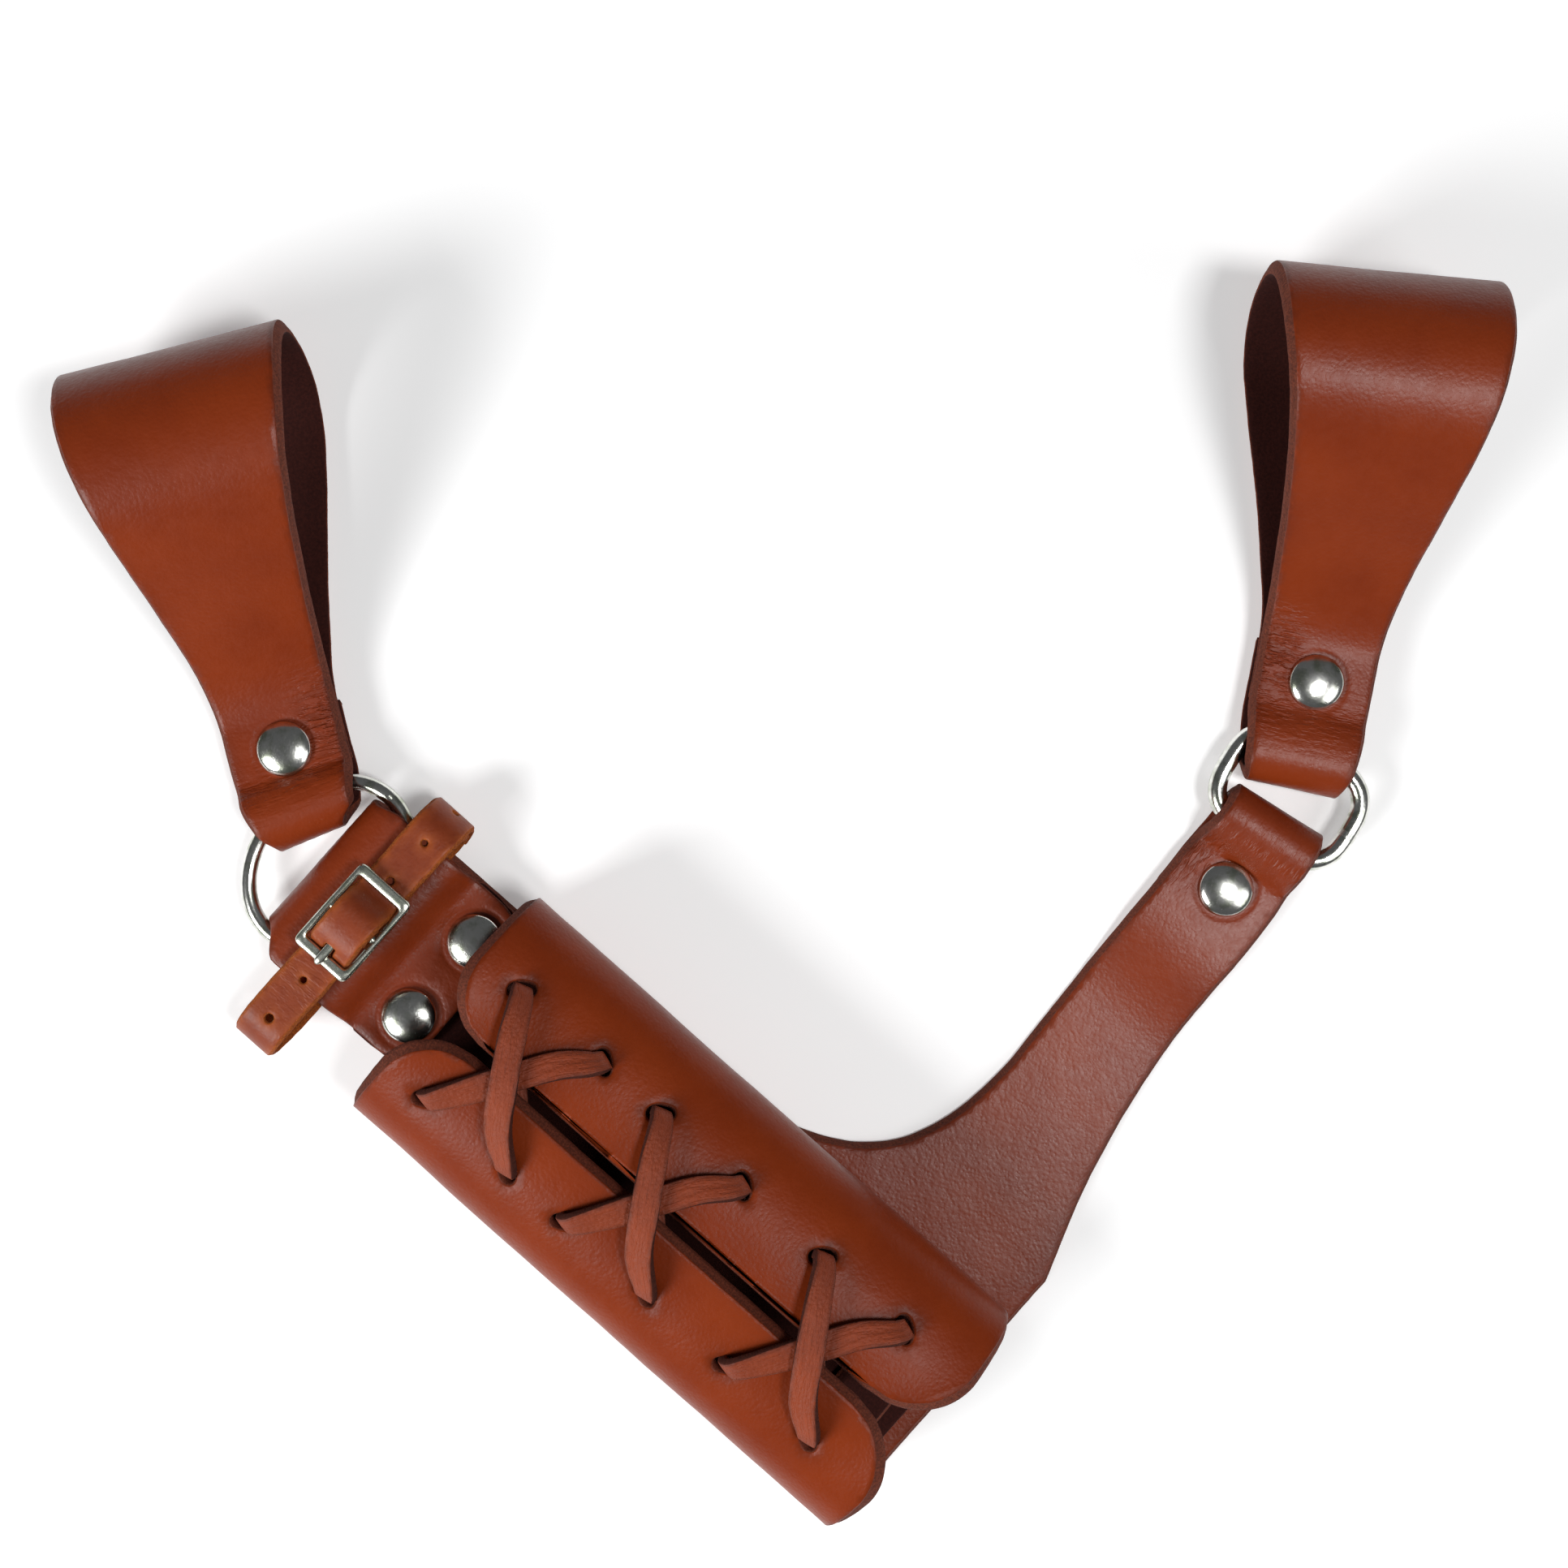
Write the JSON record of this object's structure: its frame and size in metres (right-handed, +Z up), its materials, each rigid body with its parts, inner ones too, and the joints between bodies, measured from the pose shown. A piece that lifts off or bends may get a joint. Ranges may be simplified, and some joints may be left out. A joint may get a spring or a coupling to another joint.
{
  "type": "leather scabbard hanger",
  "caption": "Leather belt hanger: a laced sleeve on an L-shaped back strap, hung by metal rings from folded belt loops, with a small buckled keeper strap.",
  "frame": {"origin": "bottom centre of the box: the plane the hanger lies on, under the middle of its length and depth", "axes": "+Z up from the lying back face to the sleeve's crown, +Y towards the belt loops' round tops, +X towards the shorter ring's side"},
  "size_m": [0.2988, 0.258, 0.0449],
  "materials": {
    "leather": "semi-gloss waxed grain, dark flesh side",
    "strap": "thin oiled strap",
    "lace": "flat laces, matt",
    "steel": "polished nickel-plated steel"
  },
  "bodies": {
    "hanger": {"back_strap": "leather", "sleeve": "leather", "lace_upper": "lace", "lace_middle": "lace", "lace_lower": "lace", "left_ring": "steel", "buckle_strap": "strap", "buckle_frame": "steel", "stem_rivet_1_cap": "steel", "stem_rivet_1_back": "steel", "stem_rivet_2_cap": "steel", "stem_rivet_2_back": "steel", "foot_rivet_1_cap": "steel", "foot_rivet_1_back": "steel", "foot_rivet_2_cap": "steel", "foot_rivet_2_back": "steel", "arm_rivet_cap": "steel", "arm_rivet_back": "steel"},
    "left_loop": {"left_belt_loop": "leather", "left_loop_rivet_cap": "steel", "left_loop_rivet_back": "steel"},
    "right_ring": {"right_ring": "steel"},
    "right_loop": {"right_belt_loop": "leather", "right_loop_rivet_cap": "steel", "right_loop_rivet_back": "steel"},
    "tongue": {"buckle_tongue": "steel"}
  },
  "joints": [
    {"name": "left_loop_turn", "type": "hinge", "parent": "hanger", "child": "left_loop", "pos_m": [-0.10112, 0.01913, 0.0068], "axis": [0.9178, 0.3972, 0], "range_deg": [-15, 18]},
    {"name": "right_ring_turn", "type": "hinge", "parent": "hanger", "child": "right_ring", "pos_m": [0.10208, 0.01143, 0.0063], "axis": [0.8499, -0.527, 0], "range_deg": [-40, 40]},
    {"name": "right_loop_turn", "type": "hinge", "parent": "right_ring", "child": "right_loop", "pos_m": [0.10979, 0.03063, 0.0063], "axis": [0.9763, -0.2164, 0], "range_deg": [-12, 12]},
    {"name": "tongue_lift", "type": "hinge", "parent": "hanger", "child": "tongue", "pos_m": [-0.08777, -0.00579, 0.0198], "axis": [-0.7478, 0.6639, 0], "range_deg": [0, 10]}
  ]
}
